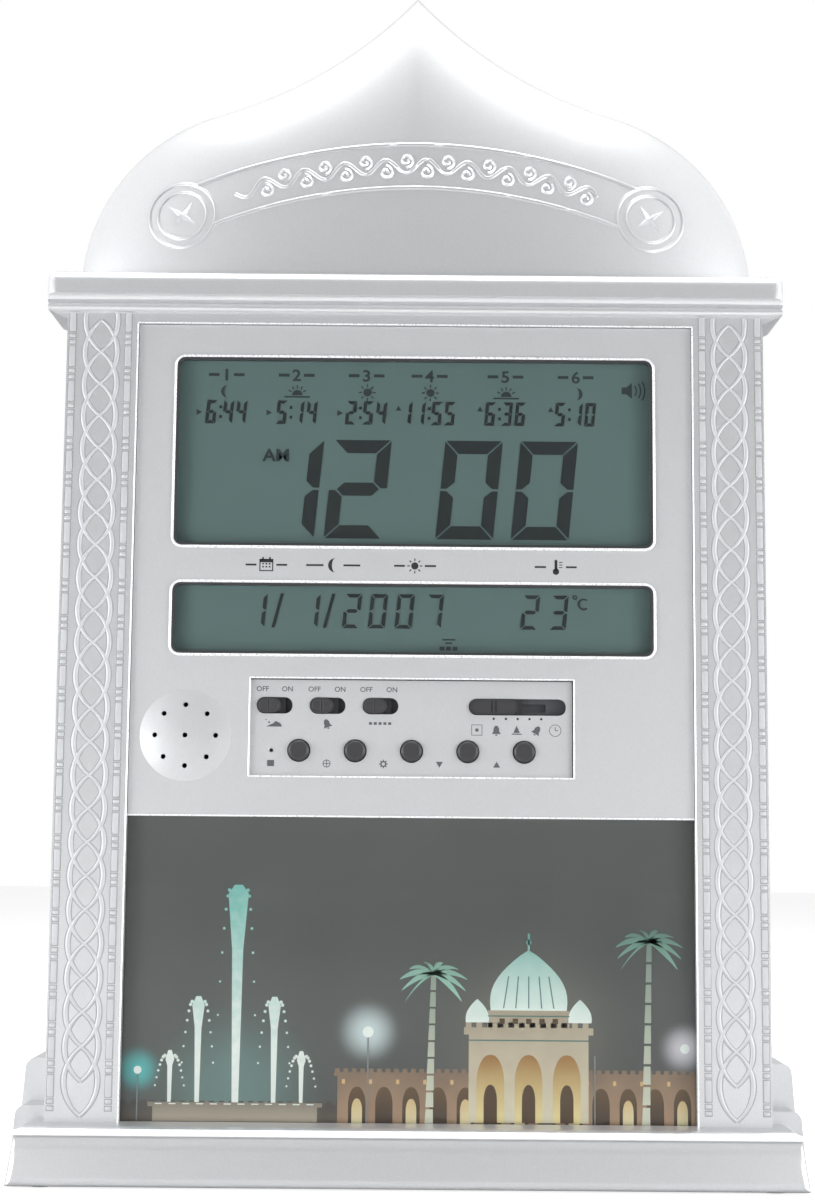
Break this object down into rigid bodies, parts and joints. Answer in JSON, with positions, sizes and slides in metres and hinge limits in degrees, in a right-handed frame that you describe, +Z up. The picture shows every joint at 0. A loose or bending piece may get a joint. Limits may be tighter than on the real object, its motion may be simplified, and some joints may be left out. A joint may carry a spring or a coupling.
{
  "type": "azan clock",
  "caption": "Free-standing azan clock shaped as an arched niche, with a time display over a date display, a speaker, slide switches, push buttons and a picture panel.",
  "frame": {"origin": "on the resting plane, under the middle of the foot", "axes": "+X to the viewer's right, -Y towards the viewer, +Z up"},
  "size_m": [0.18, 0.06, 0.2818],
  "materials": {
    "silver_abs": "moulded ABS with silver pigment, satin",
    "panel_abs": "moulded ABS with silver pigment, matte",
    "dark_abs": "moulded dark grey ABS, matte",
    "white_nylon": "moulded natural nylon",
    "lcd_glass": "liquid-crystal cell with grey-green reflector",
    "clear_acrylic": "clear acrylic, polished",
    "contact_rubber": "striped conductive silicone rubber",
    "circuit_board": "glass-fibre board with green solder mask",
    "black_resin": "black potting resin",
    "black_plastic": "moulded black nylon",
    "flat_cable": "polyester ribbon",
    "can_aluminium": "drawn can",
    "capacitor_sleeve": "shrunk vinyl sleeve",
    "brown_ceramic": "dipped ceramic bead",
    "zinc_steel": "zinc-plated steel",
    "blackened_steel": "blackened steel sheet",
    "spring_steel": "nickel-plated spring steel",
    "cone_paper": "black pulp paper",
    "ferrite": "sintered ferrite",
    "printed_card": "printed card, a night scene",
    "cell_jacket": "plain printed sleeve",
    "lead_vinyl": "vinyl insulation",
    "foot_rubber": "moulded rubber"
  },
  "bodies": {
    "root": {"front_case": "silver_abs", "crest": "silver_abs", "rear_case": "silver_abs", "fascia": "panel_abs", "main_lcd_lens": "clear_acrylic", "date_lcd_lens": "clear_acrylic", "picture_window": "clear_acrylic", "rubber_feet": "foot_rubber", "batteries": "cell_jacket", "crest_screws": "zinc_steel", "main_lcd": "lcd_glass", "date_lcd": "lcd_glass", "main_lcd_holder": "white_nylon", "date_lcd_holder": "white_nylon", "zebra_strips": "contact_rubber", "display_board": "circuit_board", "display_chips": "black_resin", "ribbon_cable": "flat_cable", "control_board": "circuit_board", "control_chip": "black_resin", "crystal": "can_aluminium", "capacitors": "capacitor_sleeve", "thermistor": "brown_ceramic", "tact_switches": "black_plastic", "slide_switches": "blackened_steel", "mode_switch": "blackened_steel", "speaker_frame": "zinc_steel", "speaker_cone": "cone_paper", "speaker_magnet": "ferrite", "picture_card": "printed_card", "picture_backing": "panel_abs", "battery_springs": "spring_steel", "battery_contacts": "spring_steel", "battery_leads": "lead_vinyl", "speaker_leads": "lead_vinyl", "case_screws": "zinc_steel", "board_screws": "zinc_steel"},
    "button_1": {"button_cap_1": "dark_abs", "button_plunger_1": "white_nylon"},
    "button_2": {"button_cap_2": "dark_abs", "button_plunger_2": "white_nylon"},
    "button_3": {"button_cap_3": "dark_abs", "button_plunger_3": "white_nylon"},
    "button_4": {"button_cap_4": "dark_abs", "button_plunger_4": "white_nylon"},
    "button_5": {"button_cap_5": "dark_abs", "button_plunger_5": "white_nylon"},
    "reset_button": {"reset_plunger": "white_nylon"},
    "switch_1": {"switch_knob_1": "dark_abs", "switch_slider_1": "white_nylon"},
    "switch_2": {"switch_knob_2": "dark_abs", "switch_slider_2": "white_nylon"},
    "switch_3": {"switch_knob_3": "dark_abs", "switch_slider_3": "white_nylon"},
    "mode_selector": {"mode_knob": "dark_abs", "mode_slider": "white_nylon"},
    "battery_door": {"battery_door": "silver_abs"}
  },
  "joints": [
    {"name": "button_1_press", "type": "slide", "parent": "root", "child": "button_1", "axis": [0, 1, 0], "range_m": [0, 0.0005], "stiffness_N_per_m": 1500, "springref_m": -0.0002},
    {"name": "button_2_press", "type": "slide", "parent": "root", "child": "button_2", "axis": [0, 1, 0], "range_m": [0, 0.0005], "stiffness_N_per_m": 1500, "springref_m": -0.0002},
    {"name": "button_3_press", "type": "slide", "parent": "root", "child": "button_3", "axis": [0, 1, 0], "range_m": [0, 0.0005], "stiffness_N_per_m": 1500, "springref_m": -0.0002},
    {"name": "button_4_press", "type": "slide", "parent": "root", "child": "button_4", "axis": [0, 1, 0], "range_m": [0, 0.0005], "stiffness_N_per_m": 1500, "springref_m": -0.0002},
    {"name": "button_5_press", "type": "slide", "parent": "root", "child": "button_5", "axis": [0, 1, 0], "range_m": [0, 0.0005], "stiffness_N_per_m": 1500, "springref_m": -0.0002},
    {"name": "reset_press", "type": "slide", "parent": "root", "child": "reset_button", "axis": [0, 1, 0], "range_m": [0, 0.0005], "stiffness_N_per_m": 1500, "springref_m": -0.0002},
    {"name": "switch_1_slide", "type": "slide", "parent": "root", "child": "switch_1", "axis": [1, 0, 0], "range_m": [0, 0.0026]},
    {"name": "switch_2_slide", "type": "slide", "parent": "root", "child": "switch_2", "axis": [1, 0, 0], "range_m": [0, 0.0026]},
    {"name": "switch_3_slide", "type": "slide", "parent": "root", "child": "switch_3", "axis": [1, 0, 0], "range_m": [0, 0.0026]},
    {"name": "mode_slide", "type": "slide", "parent": "root", "child": "mode_selector", "axis": [1, 0, 0], "range_m": [0, 0.01092]},
    {"name": "battery_door_hinge", "type": "hinge", "parent": "root", "child": "battery_door", "pos_m": [0, 0.015, 0.03], "axis": [-1, 0, 0], "range_deg": [0, 75]}
  ]
}
